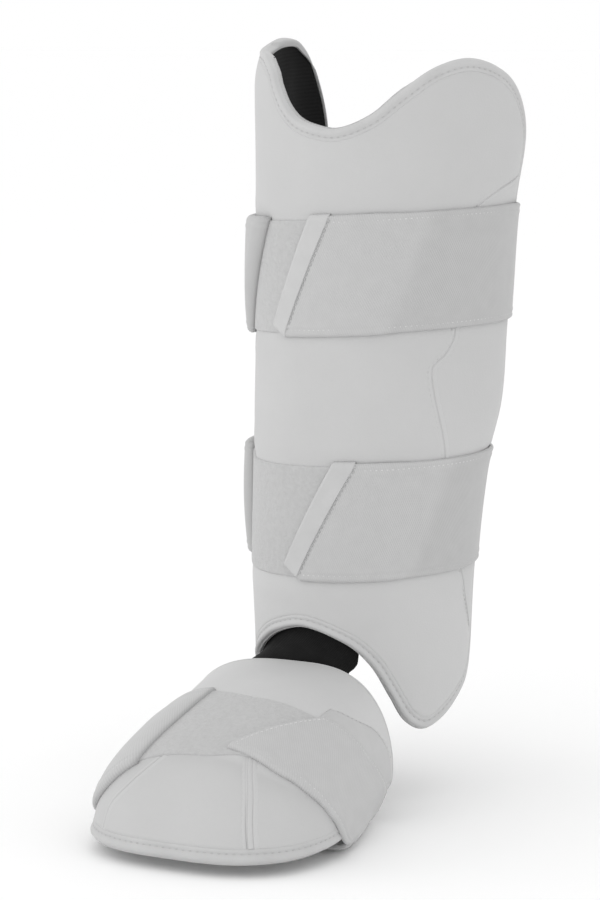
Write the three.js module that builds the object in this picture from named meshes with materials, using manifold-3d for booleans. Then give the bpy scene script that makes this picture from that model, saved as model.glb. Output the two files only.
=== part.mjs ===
// A batter's leg guard, shown as worn: a padded shin shell with a bound rim and a black lining,
// held round the leg by two wide elastic straps, and a domed foot guard that hangs from it on a
// knitted tongue and has a strap of its own under the sole.
// Millimetres, +Z up, the shin faces -Y. The origin is on the leg's axis at mid-shin.
//
// Every wall is a flat pattern, cut to its outline and then bent onto one of two forms: the leg,
// a stack of ellipses, or the foot, a row of arches that lean over until the last one is the toe.
import * as THREE from 'three';
import { mergeVertices } from 'three/addons/utils/BufferGeometryUtils.js';
import Module from 'manifold-3d';

const wasm = await Module();
wasm.setup();

// Walls and clearances
const SHELL_WALL = 7;
const LINING_WALL = 3;
const FOOT_WALL = 8;
const LAYER_GAP = 0.55;
const LAY_GAP = 0.85;

// Bound edges: a cloth-backed strip folded over the rim, with a leg on each face
const BINDING_WALL = 1.5;
const BINDING_EDGE = 2.4;
const BINDING_WIDTH = 8;
const BINDING_ROUND = 1.2;
const EDGE_GAP = 0.9;

// Straps, and what they close on
const STRAP_WALL = 2;
const STRAP_WIDTH = 65;
const LANDING_WALL = 1.8;
const LANDING_WIDTH = 61;
const WEB_WALL = 3.5;
const WEB_WIDTH = 58;
const TAPE_WALL = 1;
const TAPE_TURN = 11;
const TAB_WALL = 1.2;

// Tongue
const TONGUE_WALL = 2;
const TONGUE_WIDTH = 60;
const TONGUE_COLUMNS = 6;
const TONGUE_ROWS = 8;
const TONGUE_GAP = 0.4;
const TONGUE_TURN = -12;
const TONGUE_TILT = -4;
const TONGUE_TOP = -74;
const TONGUE_ARCH = { height: -101, fall: 0.014 };
const TONGUE_RIM = { along: -0.015, drop: 0.2 };
const TONGUE_TUCK = { along: 0.17, drop: 0 };
const TONGUE_SPREAD = { turn: 1.22, tilt: 0.78 };

// Spacing of the facets on the flat patterns
const LEG_STEP = { across: 12.2, up: 40 };
const FOOT_STEP = { across: 14, up: 19 };
const LEG_BAND_STEP = 14;
const FOOT_BAND_STEP = 9;
const LEG_BAND_ROWS = 2;
const FOOT_BAND_ROWS = 4;
const SHIN_EDGE_COUNT = 76;
const FOOT_EDGE_COUNT = 56;

// The leg form: an ellipse at each height, with turn counted in degrees from the front
const LEG_SECTIONS = [
  { height: -175, halfWidth: 58, halfDepth: 59, centreX: -5, centreY: -9.5 },
  { height: -117, halfWidth: 60.5, halfDepth: 61, centreX: -4.6, centreY: -9 },
  { height: -64, halfWidth: 63, halfDepth: 63.5, centreX: -3.6, centreY: -8 },
  { height: -10, halfWidth: 66, halfDepth: 66.5, centreX: -1.2, centreY: -4 },
  { height: 29, halfWidth: 70, halfDepth: 70, centreX: 1, centreY: 0.5 },
  { height: 70, halfWidth: 71, halfDepth: 71, centreX: 2.2, centreY: 2 },
  { height: 143, halfWidth: 74, halfDepth: 74, centreX: 3.6, centreY: 6 },
  { height: 185, halfWidth: 77, halfDepth: 77, centreX: 4.8, centreY: 9 },
  { height: 240, halfWidth: 79, halfDepth: 79, centreX: 5.4, centreY: 9.5 },
];

// The top left wing leans in towards its rim, most on the left
const LEAN_TURNS = [
  { turn: -105, share: 0 },
  { turn: -72, share: 1 },
  { turn: -46, share: 1 },
  { turn: -22, share: 0 },
];
const LEAN_START = 206;
const LEAN_RISE = 26;
const LEAN_DEPTH = 6;

// The foot form: arches from the rim (along 0) to the toe (along 1), each with its crest, the line
// between its two feet, its reach to the left and right, and how far its right foot is drawn in
const FOOT_SECTIONS = [
  { along: 0, crestY: -76, crestZ: -111, sideY: -76, left: 76, right: 58, tuck: 10 },
  { along: 0.25, crestY: -116, crestZ: -116, sideY: -100, left: 75, right: 62, tuck: 9 },
  { along: 0.5, crestY: -156, crestZ: -126, sideY: -122, left: 73, right: 66, tuck: 5.5 },
  { along: 0.75, crestY: -198, crestZ: -143, sideY: -142, left: 70, right: 69, tuck: 3 },
  { along: 0.9, crestY: -220, crestZ: -164, sideY: -152, left: 68, right: 70, tuck: 2.5 },
  { along: 1, crestY: -229, crestZ: -186, sideY: -156, left: 68, right: 70, tuck: 2 },
];
const TUCK_TILTS = [
  { tilt: 66, share: 0 },
  { tilt: 92, share: 1 },
  { tilt: 150, share: 0 },
];
const FOOT_MIDDLE_X = -8;
const SOLE_Z = -186;
const ARCH_POWER = 2.8;
const UNDER_DEPTH = 9;
const UNDER_POWER = 3;

// Flat millimetres for each degree of turn or tilt, and the foot pattern's length
const SPREAD = 70 * Math.PI / 180;
const FOOT_LENGTH = 170;

// The shin pattern's rim, anticlockwise from the middle of the bottom arch
const SHIN_OUTLINE = [
  { turn: -5, height: -92.5 },
  { turn: 18, height: -100.5 },
  { turn: 31.5, height: -112.5 },
  { turn: 42.8, height: -130.8 },
  { turn: 52, height: -145 },
  { turn: 64, height: -151.5 },
  { turn: 76, height: -148 },
  { turn: 92, height: -138 },
  { turn: 108, height: -126 },
  { turn: 117, height: -106 },
  { turn: 119.5, height: -60 },
  { turn: 119.5, height: 20 },
  { turn: 119, height: 100 },
  { turn: 115, height: 150 },
  { turn: 107, height: 178 },
  { turn: 95, height: 200 },
  { turn: 80, height: 216 },
  { turn: 60, height: 223.7 },
  { turn: 44, height: 219 },
  { turn: 29, height: 204 },
  { turn: 17, height: 190.7 },
  { turn: 3, height: 184.5 },
  { turn: -9, height: 190.5 },
  { turn: -20, height: 204.5 },
  { turn: -30, height: 218 },
  { turn: -44, height: 226 },
  { turn: -64, height: 230 },
  { turn: -96, height: 234.8 },
  { turn: -109, height: 231 },
  { turn: -116, height: 212 },
  { turn: -119, height: 180 },
  { turn: -119.5, height: 100 },
  { turn: -119.5, height: 0 },
  { turn: -118.5, height: -80 },
  { turn: -112, height: -112 },
  { turn: -96, height: -127 },
  { turn: -78, height: -128 },
  { turn: -60, height: -118.6 },
  { turn: -40, height: -105.8 },
  { turn: -24, height: -97 },
];

// The foot pattern's edge, anticlockwise from the middle of the toe
const FOOT_OUTLINE = [
  { tilt: 0, along: 1 },
  { tilt: 40, along: 1 },
  { tilt: 70, along: 0.995 },
  { tilt: 82, along: 0.96 },
  { tilt: 86.5, along: 0.86 },
  { tilt: 87, along: 0.6 },
  { tilt: 86.5, along: 0.3 },
  { tilt: 82, along: 0.09 },
  { tilt: 70, along: 0.01 },
  { tilt: 35, along: 0 },
  { tilt: 0, along: 0 },
  { tilt: -35, along: 0 },
  { tilt: -70, along: 0.01 },
  { tilt: -82, along: 0.09 },
  { tilt: -86.5, along: 0.3 },
  { tilt: -87, along: 0.6 },
  { tilt: -86.5, along: 0.86 },
  { tilt: -82, along: 0.96 },
  { tilt: -70, along: 0.995 },
  { tilt: -40, along: 1 },
];

// Leg straps: the loose end lies on a landing patch at the front, the fixed end on a web.
// Both ends are cut on a slant, in degrees of turn for each millimetre up.
const LEG_STRAPS = [
  { name: 'upper', centre: 105.5, rise: 4.5, riseTurn: 98, end: -18.5, endSlant: 0.35, fixed: -46 },
  { name: 'lower', centre: -31, rise: 2.5, riseTurn: 120, end: -5.3, endSlant: 0.42, fixed: -70 },
];
const FIXED_SLANT = 0.43;
const LANDING_TUCK = 30;
const WEB_TURN = 20;
const FIXED_SLIT = 2.2;
const WEB_GAP = 0.5;

// Heights of a strap above what it crosses
const LIFT_ON_SHELL = LAY_GAP;
const LIFT_ON_RIM = LAY_GAP + BINDING_WALL + LAY_GAP;
const LIFT_ON_LANDING = LAY_GAP + LANDING_WALL + LAY_GAP;
const LIFT_ON_WEB = LAY_GAP + WEB_WALL + LAY_GAP;
const LIFT_BEHIND = -1;
const LIFT_ON_FOOT_RIM = LIFT_ON_RIM + 0.5;

// Turns over which a strap climbs or falls: past its landing, onto and off the rims, up to its web
const LANDING_FALL = { from: 12, to: 30 };
const RIGHT_RIM = { before: 94, from: 108, to: 126 };
const BACK_TURN = 180;
const LEFT_RIM = 232;
const WEB_CLIMB = { from: 22, to: 2 };
const FOOT_LANDING_FALL = 15;
const FOOT_RIM = { before: 62, from: 74 };
const FOOT_WEB_CLIMB = { from: 24, to: 6 };

// The foot strap's lane: where its rear and front edges cross the foot form
const FOOT_LANE = [
  { tilt: -90, rear: 0.13, front: 0.99 },
  { tilt: -60, rear: 0.26, front: 0.93 },
  { tilt: -44, rear: 0.3, front: 0.865 },
  { tilt: -26, rear: 0.32, front: 0.765 },
  { tilt: -5, rear: 0.36, front: 0.727 },
  { tilt: 15, rear: 0.375, front: 0.728 },
  { tilt: 34, rear: 0.38, front: 0.757 },
  { tilt: 53, rear: 0.318, front: 0.775 },
  { tilt: 67, rear: 0.22, front: 0.807 },
  { tilt: 76, rear: 0.16, front: 0.86 },
  { tilt: 90, rear: 0.13, front: 0.99 },
];
const FOOT_STRAP = { width: 62, end: 22, endSlant: 0.4, fixed: -23, fixedSlant: 0.1 };
const FOOT_LANDING_TUCK = 12;
const FOOT_WEB_TILT = 16;
const FOOT_SLIT = 1.4;
const FOOT_TRIM = 2;

// A stitched tab on the right of the foot guard, behind its strap
const FOOT_TAB = [
  { tilt: 36, along: 0.34 },
  { tilt: 48, along: 0.305 },
  { tilt: 60, along: 0.24 },
  { tilt: 68, along: 0.175 },
  { tilt: 70, along: 0.1 },
  { tilt: 63, along: 0.075 },
  { tilt: 50, along: 0.13 },
  { tilt: 43, along: 0.22 },
  { tilt: 35, along: 0.28 },
];

const FINISHES = {
  leather: { color: '#cbcbcb', roughness: 0.55, metalness: 0 },
  elastic: { color: '#bdbdbd', roughness: 0.85, metalness: 0 },
  pile: { color: '#c2c2c2', roughness: 0.95, metalness: 0 },
  backing: { color: '#aeaeae', roughness: 0.9, metalness: 0 },
  lining: { color: '#141414', roughness: 0.95, metalness: 0 },
};

// A column of a table, read between its rows along a smooth curve that runs on straight past its ends
function smooth(rows, key, column, at) {
  const last = rows.length - 1;
  const place = THREE.MathUtils.clamp(at, rows[0][key], rows[last][key]);
  let i = 0;
  while (i < last - 1 && place > rows[i + 1][key]) i += 1;
  const slope = (k) => {
    const before = rows[Math.max(k - 1, 0)];
    const after = rows[Math.min(k + 1, last)];
    return (after[column] - before[column]) / (after[key] - before[key]);
  };
  const run = rows[i + 1][key] - rows[i][key];
  const t = (place - rows[i][key]) / run;
  const ease = t * t * (3 - 2 * t);
  const level = rows[i][column] * (1 - ease) + rows[i + 1][column] * ease;
  const curve = run * t * (1 - t) * ((1 - t) * slope(i) - t * slope(i + 1));
  const past = (at - place) * slope(at < place ? 0 : last);
  return level + curve + past;
}

// A column of a table that levels out at every row
function eased(rows, key, column, at) {
  const last = rows.length - 1;
  if (at <= rows[0][key]) return rows[0][column];
  if (at >= rows[last][key]) return rows[last][column];
  const i = rows.findIndex((row) => row[key] > at) - 1;
  const t = THREE.MathUtils.smoothstep(at, rows[i][key], rows[i + 1][key]);
  return THREE.MathUtils.lerp(rows[i][column], rows[i + 1][column], t);
}

// How far the wing leans in
function lean(turn, height) {
  const up = THREE.MathUtils.clamp((height - LEAN_START) / LEAN_RISE, 0, 1);
  return LEAN_DEPTH * up ** 2 * eased(LEAN_TURNS, 'turn', 'share', turn);
}

// A point of the leg form, a little way out from it
function legPoint(turn, height, out = 0) {
  const section = (column) => smooth(LEG_SECTIONS, 'height', column, height);
  const angle = THREE.MathUtils.degToRad(turn);
  const offset = out - lean(turn, height);
  const x = section('centreX') + (section('halfWidth') + offset) * Math.sin(angle);
  const y = section('centreY') - (section('halfDepth') + offset) * Math.cos(angle);
  return new THREE.Vector3(x, y, height);
}

// A point of the foot form; past 90 degrees of tilt it runs on under the sole
function footPoint(along, tilt) {
  const section = (column) => smooth(FOOT_SECTIONS, 'along', column, along);
  const angle = THREE.MathUtils.degToRad(tilt);
  const reach = Math.sin(angle) < 0 ? section('left') : section('right');
  const around = THREE.MathUtils.euclideanModulo(tilt + 180, 360) - 180;
  const middleX = FOOT_MIDDLE_X - section('tuck') * eased(TUCK_TILTS, 'tilt', 'share', around);
  const sideY = section('sideY');
  if (Math.cos(angle) < 0) {
    const x = reach * Math.sign(Math.sin(angle)) * Math.abs(Math.sin(angle)) ** (2 / UNDER_POWER);
    const z = SOLE_Z - UNDER_DEPTH * Math.abs(Math.cos(angle)) ** (2 / UNDER_POWER);
    return new THREE.Vector3(middleX + x, sideY, z);
  }
  const forward = section('crestY') - sideY;
  const upward = section('crestZ') - SOLE_Z;
  const rise = Math.hypot(forward, upward);
  const wide = (Math.abs(Math.sin(angle)) / reach) ** ARCH_POWER;
  const high = (Math.cos(angle) / rise) ** ARCH_POWER;
  const radius = (wide + high) ** (-1 / ARCH_POWER);
  const share = radius * Math.cos(angle) / rise;
  const x = middleX + radius * Math.sin(angle);
  return new THREE.Vector3(x, sideY + share * forward, SOLE_Z + share * upward);
}

// Flat patterns: p runs to the right, and q upwards, or from the toe back to the rim
const legSurface = (p, q) => legPoint(p / SPREAD, q);
const footSurface = (p, q) => footPoint(1 - q / FOOT_LENGTH, p / SPREAD);
const onLeg = (row) => new THREE.Vector2(row.turn * SPREAD, row.height);
const onFoot = (row) => new THREE.Vector2(row.tilt * SPREAD, (1 - row.along) * FOOT_LENGTH);

// How a surface runs at a flat point: its two slopes and the way out of it
function slopes(surface, p, q) {
  const nudge = 0.05;
  const alongP = surface(p + nudge, q).sub(surface(p - nudge, q)).divideScalar(2 * nudge);
  const alongQ = surface(p, q + nudge).sub(surface(p, q - nudge)).divideScalar(2 * nudge);
  const out = new THREE.Vector3().crossVectors(alongP, alongQ).normalize();
  return { alongP, alongQ, out };
}

function bend(geometry, surface) {
  const position = geometry.getAttribute('position');
  for (let i = 0; i < position.count; i += 1) {
    const [p, q, w] = [position.getX(i), position.getY(i), position.getZ(i)];
    const point = surface(p, q).addScaledVector(slopes(surface, p, q).out, w);
    position.setXYZ(i, point.x, point.y, point.z);
  }
  geometry.computeVertexNormals();
  return geometry;
}

// The same shape with one vertex at each corner
function welded(geometry) {
  geometry.deleteAttribute('normal');
  geometry.deleteAttribute('uv');
  return mergeVertices(geometry);
}

// A solid that keeps each facet apart, so that a flat face is still divided after a cut
function toSolid(geometry) {
  const corners = welded(geometry);
  const vertProperties = new Float32Array(corners.getAttribute('position').array);
  const triVerts = new Uint32Array(corners.index.array);
  const faceID = Uint32Array.from({ length: triVerts.length / 3 }, (unused, face) => face);
  return new wasm.Manifold(new wasm.Mesh({ numProp: 3, vertProperties, triVerts, faceID }));
}

function toGeometry(solid) {
  const mesh = solid.getMesh();
  const geometry = new THREE.BufferGeometry();
  geometry.setAttribute('position', new THREE.BufferAttribute(new Float32Array(mesh.vertProperties), 3));
  geometry.setIndex(new THREE.BufferAttribute(new Uint32Array(mesh.triVerts), 1));
  return geometry;
}

// A panel cut to a flat outline. Its facets fall on whole steps, so that layers share them.
function cutPanel(outline, low, high, step) {
  const reach = new THREE.Box2().setFromPoints(outline);
  const first = [Math.floor(reach.min.x / step.across), Math.floor(reach.min.y / step.up)];
  const last = [Math.ceil(reach.max.x / step.across), Math.ceil(reach.max.y / step.up)];
  const count = [last[0] - first[0], last[1] - first[1]];
  const size = [count[0] * step.across, count[1] * step.up, high - low];
  const slab = new THREE.BoxGeometry(...size, ...count, 1);
  const middle = [first[0] + count[0] / 2, first[1] + count[1] / 2];
  slab.translate(middle[0] * step.across, middle[1] * step.up, (low + high) / 2);
  const spare = 1;
  const cutter = new THREE.ExtrudeGeometry(new THREE.Shape(outline), {
    depth: high - low + 2 * spare,
    bevelEnabled: false,
  });
  cutter.translate(0, 0, low - spare);
  return toGeometry(toSolid(slab).intersect(toSolid(cutter)));
}

// Evenly spaced points on the closed curve through the rows of an outline
function closedLoop(rows, flatten, count) {
  const corners = rows.map((row) => new THREE.Vector3(...flatten(row).toArray(), 0));
  const curve = new THREE.CatmullRomCurve3(corners, true, 'centripetal');
  const points = curve.getSpacedPoints(count).slice(0, count);
  return points.map((point) => new THREE.Vector2(point.x, point.y));
}

// The same loop moved inwards by a real distance, walked on the surface in short steps
function inset(loop, distance, surface) {
  const strides = 6;
  return loop.map((point, i) => {
    const before = loop[(i + loop.length - 1) % loop.length];
    const after = loop[(i + 1) % loop.length];
    const edge = surface(after.x, after.y).sub(surface(before.x, before.y));
    const { out } = slopes(surface, point.x, point.y);
    const inward = new THREE.Vector3().crossVectors(out, edge).normalize();
    const here = point.clone();
    for (let k = 0; k < strides; k += 1) {
      const { alongP, alongQ } = slopes(surface, here.x, here.y);
      const [pp, pq, qq] = [alongP.dot(alongP), alongP.dot(alongQ), alongQ.dot(alongQ)];
      const [p, q] = [alongP.dot(inward), alongQ.dot(inward)];
      const area = pp * qq - pq * pq;
      here.x += (p * qq - q * pq) / area * distance / strides;
      here.y += (q * pp - p * pq) / area * distance / strides;
    }
    return here;
  });
}

// A strip folded over the edge of a wall whose outer face is at 0: a closed U in section
function bindEdge(loop, wall, surface) {
  const outer = LAY_GAP + BINDING_WALL;
  const inner = -wall - LAY_GAP - BINDING_WALL;
  const section = [
    { inward: BINDING_WIDTH, out: outer },
    { inward: BINDING_ROUND, out: outer },
    { inward: 0, out: outer - BINDING_ROUND },
    { inward: 0, out: inner + BINDING_ROUND },
    { inward: BINDING_ROUND, out: inner },
    { inward: BINDING_WIDTH, out: inner },
    { inward: BINDING_WIDTH, out: inner + BINDING_WALL },
    { inward: BINDING_EDGE, out: inner + BINDING_WALL },
    { inward: BINDING_EDGE, out: outer - BINDING_WALL },
    { inward: BINDING_WIDTH, out: outer - BINDING_WALL },
  ];
  const lanes = section.map((row) => inset(loop, row.inward, surface));
  const positions = [];
  const faces = [];
  for (let i = 0; i < loop.length; i += 1) {
    for (let k = 0; k < section.length; k += 1) {
      positions.push(lanes[k][i].x, lanes[k][i].y, section[k].out);
      const here = i * section.length + k;
      const beside = i * section.length + (k + 1) % section.length;
      const ahead = ((i + 1) % loop.length) * section.length;
      const nextHere = ahead + k;
      const nextBeside = ahead + (k + 1) % section.length;
      faces.push(here, beside, nextHere, beside, nextBeside, nextHere);
    }
  }
  const geometry = new THREE.BufferGeometry();
  geometry.setAttribute('position', new THREE.Float32BufferAttribute(positions, 3));
  geometry.setIndex(faces);
  return bend(geometry, surface);
}

// Divides each four-sided facet along its shorter diagonal, so that a slanted band keeps its thickness
function splitShort(geometry) {
  const position = geometry.getAttribute('position');
  const facets = geometry.index.array;
  const distance = (i, k) => {
    const from = new THREE.Vector3().fromBufferAttribute(position, i);
    return from.distanceTo(new THREE.Vector3().fromBufferAttribute(position, k));
  };
  for (let i = 0; i < facets.length; i += 6) {
    const [a, b, d, , c] = facets.slice(i, i + 5);
    if (distance(a, c) < distance(b, d)) facets.set([a, b, c, a, c, d], i);
  }
  geometry.computeVertexNormals();
  return geometry;
}

// A band with slanted ends, bent onto a surface. Turns are in degrees, slants in degrees for each
// millimetre up, and q is measured from the band's middle line.
function bentBand({ start, startSlant, finish, finishSlant, width }, low, wall, surface, step, rows) {
  const columns = Math.max(2, Math.round((finish - start) * SPREAD / step));
  const geometry = welded(new THREE.BoxGeometry(1, width, wall, columns, rows, 1));
  geometry.translate(0.5, 0, low + wall / 2);
  const position = geometry.getAttribute('position');
  for (let i = 0; i < position.count; i += 1) {
    const q = position.getY(i);
    const turn = THREE.MathUtils.lerp(start + startSlant * q, finish + finishSlant * q, position.getX(i));
    position.setX(i, turn * SPREAD);
  }
  return splitShort(bend(geometry, surface));
}

const legGuard = new THREE.Group();

function addPiece(name, geometry, finish) {
  const mesh = new THREE.Mesh(geometry, new THREE.MeshStandardMaterial(FINISHES[finish]));
  mesh.name = name;
  legGuard.add(mesh);
}

// Shin shell, its lining and the strip bound round both
const shinLoop = closedLoop(SHIN_OUTLINE, onLeg, SHIN_EDGE_COUNT);
const shinCut = inset(shinLoop, BINDING_EDGE + EDGE_GAP, legSurface);
const liningFace = -SHELL_WALL - LAYER_GAP;
addPiece('shin_shell', bend(cutPanel(shinCut, -SHELL_WALL, 0, LEG_STEP), legSurface), 'leather');
const liningPanel = cutPanel(shinCut, liningFace - LINING_WALL, liningFace, LEG_STEP);
addPiece('shin_lining', bend(liningPanel, legSurface), 'lining');
addPiece('shin_binding', bindEdge(shinLoop, SHELL_WALL + LAYER_GAP + LINING_WALL, legSurface), 'leather');

// Leg straps with their landing patches, webs and end tapes
function legStrap(strap) {
  const rise = (turn) => strap.rise * Math.cos(THREE.MathUtils.degToRad(turn - strap.riseTurn));
  const fixedEnd = strap.fixed + 360;
  const webReach = WEB_TURN + FIXED_SLANT * STRAP_WIDTH / 2;
  const lifts = [
    { turn: strap.end + LANDING_TUCK + LANDING_FALL.from, lift: LIFT_ON_LANDING },
    { turn: strap.end + LANDING_TUCK + LANDING_FALL.to, lift: LIFT_ON_SHELL },
    { turn: RIGHT_RIM.before, lift: LIFT_ON_SHELL },
    { turn: RIGHT_RIM.from, lift: LIFT_ON_RIM },
    { turn: RIGHT_RIM.to, lift: LIFT_ON_RIM },
    { turn: BACK_TURN, lift: LIFT_BEHIND },
    { turn: LEFT_RIM, lift: LIFT_ON_RIM },
    { turn: fixedEnd - webReach - WEB_CLIMB.from, lift: LIFT_ON_RIM },
    { turn: fixedEnd - webReach - WEB_CLIMB.to, lift: LIFT_ON_WEB },
  ];
  const strapSurface = (p, q) => {
    const turn = p / SPREAD;
    return legPoint(turn, strap.centre + q + rise(turn), eased(lifts, 'turn', 'lift', turn));
  };
  const shellSurface = (p, q) => legPoint(p / SPREAD, strap.centre + q + rise(p / SPREAD));
  const loose = { start: strap.end, startSlant: strap.endSlant, width: STRAP_WIDTH };
  const held = { finishSlant: FIXED_SLANT, startSlant: FIXED_SLANT, width: WEB_WIDTH };
  const add = (suffix, band, low, wall, surface, finish) => {
    const geometry = bentBand(band, low, wall, surface, LEG_BAND_STEP, LEG_BAND_ROWS);
    addPiece(`${strap.name}_${suffix}`, geometry, finish);
  };
  const strapBand = { ...loose, finish: fixedEnd - FIXED_SLIT, finishSlant: FIXED_SLANT };
  add('strap', strapBand, 0, STRAP_WALL, strapSurface, 'elastic');
  const tapeBand = { ...loose, finish: strap.end + TAPE_TURN, finishSlant: strap.endSlant };
  add('tape', tapeBand, STRAP_WALL + LAY_GAP, TAPE_WALL, strapSurface, 'leather');
  const landingBand = {
    start: strap.fixed + FIXED_SLIT,
    startSlant: FIXED_SLANT,
    finish: strap.end + LANDING_TUCK,
    finishSlant: strap.endSlant,
    width: LANDING_WIDTH,
  };
  add('landing', landingBand, LAY_GAP, LANDING_WALL, shellSurface, 'pile');
  const webBand = { ...held, start: strap.fixed - WEB_TURN, finish: strap.fixed + FIXED_SLIT - WEB_GAP };
  add('web', webBand, LAY_GAP, WEB_WALL, shellSurface, 'backing');
}
LEG_STRAPS.forEach(legStrap);

// Foot guard and its bound edge
const footLoop = closedLoop(FOOT_OUTLINE, onFoot, FOOT_EDGE_COUNT);
const footCut = inset(footLoop, BINDING_EDGE + EDGE_GAP, footSurface);
addPiece('foot_shell', bend(cutPanel(footCut, -FOOT_WALL, 0, FOOT_STEP), footSurface), 'leather');
addPiece('foot_binding', bindEdge(footLoop, FOOT_WALL, footSurface), 'leather');
const tabPanel = cutPanel(FOOT_TAB.map(onFoot), LAY_GAP, LAY_GAP + TAB_WALL, FOOT_STEP);
addPiece('foot_tab', bend(tabPanel, footSurface), 'leather');

// Foot strap: a whole loop under the sole, whose loose end closes on the crest
function footStrap() {
  const { width, end, endSlant, fixed, fixedSlant } = FOOT_STRAP;
  const fixedEnd = fixed + 360;
  const lifts = [
    { turn: end + FOOT_LANDING_TUCK + FOOT_LANDING_FALL, lift: LIFT_ON_LANDING },
    { turn: FOOT_RIM.before, lift: LIFT_ON_SHELL },
    { turn: FOOT_RIM.from, lift: LIFT_ON_FOOT_RIM },
    { turn: fixedEnd - FOOT_WEB_TILT - FOOT_WEB_CLIMB.from, lift: LIFT_ON_FOOT_RIM },
    { turn: fixedEnd - FOOT_WEB_TILT - FOOT_WEB_CLIMB.to, lift: LIFT_ON_WEB },
  ];
  const lane = (tilt, q) => {
    const turned = THREE.MathUtils.euclideanModulo(tilt + 180, 360) - 180;
    const around = THREE.MathUtils.clamp(turned, -90, 90);
    const front = smooth(FOOT_LANE, 'tilt', 'front', around);
    const rear = smooth(FOOT_LANE, 'tilt', 'rear', around);
    return THREE.MathUtils.lerp(front, rear, q / width + 0.5);
  };
  const laneSurface = (p, q) => footPoint(lane(p / SPREAD, q), p / SPREAD);
  const strapSurface = (p, q) => {
    const lift = eased(lifts, 'turn', 'lift', p / SPREAD);
    return laneSurface(p, q).addScaledVector(slopes(laneSurface, p, q).out, lift);
  };
  const add = (suffix, band, low, wall, surface, finish) => {
    addPiece(`foot_${suffix}`, bentBand(band, low, wall, surface, FOOT_BAND_STEP, FOOT_BAND_ROWS), finish);
  };
  const strapBand = {
    start: end,
    startSlant: endSlant,
    finish: fixedEnd - FOOT_SLIT,
    finishSlant: fixedSlant,
    width,
  };
  add('strap', strapBand, 0, STRAP_WALL, strapSurface, 'elastic');
  const landingBand = {
    start: fixed + FOOT_SLIT,
    startSlant: fixedSlant,
    finish: end + FOOT_LANDING_TUCK,
    finishSlant: endSlant,
    width: width - FOOT_TRIM,
  };
  add('landing', landingBand, LAY_GAP, LANDING_WALL, laneSurface, 'pile');
  const webBand = {
    start: fixed - FOOT_WEB_TILT,
    startSlant: fixedSlant,
    finish: fixed + FOOT_SLIT - WEB_GAP,
    finishSlant: fixedSlant,
    width: width - 3 * FOOT_TRIM,
  };
  add('web', webBand, LAY_GAP, WEB_WALL, laneSurface, 'backing');
}
footStrap();

// Tongue: a knitted band from inside the shin's bottom arch to inside the foot guard's rim
function tongue() {
  const insideShin = -(SHELL_WALL + LAYER_GAP + LINING_WALL + LAY_GAP + BINDING_WALL + TONGUE_GAP);
  const insideFoot = -(FOOT_WALL + LAY_GAP + BINDING_WALL + TONGUE_GAP);
  const onShin = (p, height) => legPoint(TONGUE_TURN + TONGUE_SPREAD.turn * p, height, insideShin);
  const underFoot = (p, { along, drop }) => {
    const flat = onFoot({ tilt: TONGUE_TILT + TONGUE_SPREAD.tilt * p, along });
    const { out } = slopes(footSurface, flat.x, flat.y);
    return footSurface(flat.x, flat.y).addScaledVector(out, insideFoot - drop);
  };
  const tongueSurface = (p, q) => {
    const guides = [
      underFoot(p, TONGUE_TUCK),
      underFoot(p, TONGUE_RIM),
      onShin(p, TONGUE_ARCH.height - TONGUE_ARCH.fall * p * p),
      onShin(p, TONGUE_TOP),
    ];
    const route = new THREE.CatmullRomCurve3(guides, false, 'centripetal');
    return route.getPoint(THREE.MathUtils.clamp(q, 0, 1));
  };
  const flatTongue = new THREE.BoxGeometry(TONGUE_WIDTH, 1, TONGUE_WALL, TONGUE_COLUMNS, TONGUE_ROWS, 1);
  flatTongue.translate(0, 0.5, -TONGUE_WALL / 2);
  return bend(welded(flatTongue), tongueSurface);
}
addPiece('ankle_tongue', tongue(), 'lining');

export default legGuard;
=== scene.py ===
import math
import bpy
import numpy as np
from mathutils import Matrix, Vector


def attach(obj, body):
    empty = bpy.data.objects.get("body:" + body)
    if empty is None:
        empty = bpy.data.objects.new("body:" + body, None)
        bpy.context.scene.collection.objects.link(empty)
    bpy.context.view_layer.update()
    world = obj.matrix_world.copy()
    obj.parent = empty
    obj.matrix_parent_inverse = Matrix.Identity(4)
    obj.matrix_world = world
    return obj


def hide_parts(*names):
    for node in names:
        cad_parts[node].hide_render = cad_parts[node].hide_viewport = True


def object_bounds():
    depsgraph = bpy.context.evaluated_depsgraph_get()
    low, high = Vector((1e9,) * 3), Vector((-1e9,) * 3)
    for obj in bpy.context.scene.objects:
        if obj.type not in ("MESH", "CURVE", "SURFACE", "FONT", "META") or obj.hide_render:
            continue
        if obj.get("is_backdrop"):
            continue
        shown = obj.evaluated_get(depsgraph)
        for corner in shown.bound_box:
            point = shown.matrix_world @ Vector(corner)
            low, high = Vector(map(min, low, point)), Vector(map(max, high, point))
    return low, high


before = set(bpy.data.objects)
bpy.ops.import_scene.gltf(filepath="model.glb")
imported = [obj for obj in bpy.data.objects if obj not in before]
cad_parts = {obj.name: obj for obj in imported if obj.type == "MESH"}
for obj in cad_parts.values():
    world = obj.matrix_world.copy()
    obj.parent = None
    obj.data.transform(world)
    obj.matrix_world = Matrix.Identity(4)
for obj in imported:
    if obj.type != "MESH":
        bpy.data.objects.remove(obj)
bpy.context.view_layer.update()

# A batter's leg guard: a padded shin shell and a foot guard, cut flat, bent onto a leg and a foot,
# bound round the edge and closed by elastic straps.
# Shapes are worked out in millimetres and degrees and written to the meshes in metres.
MM = 0.001
LEG_RADIUS = 70
SPREAD = math.radians(LEG_RADIUS)

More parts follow.
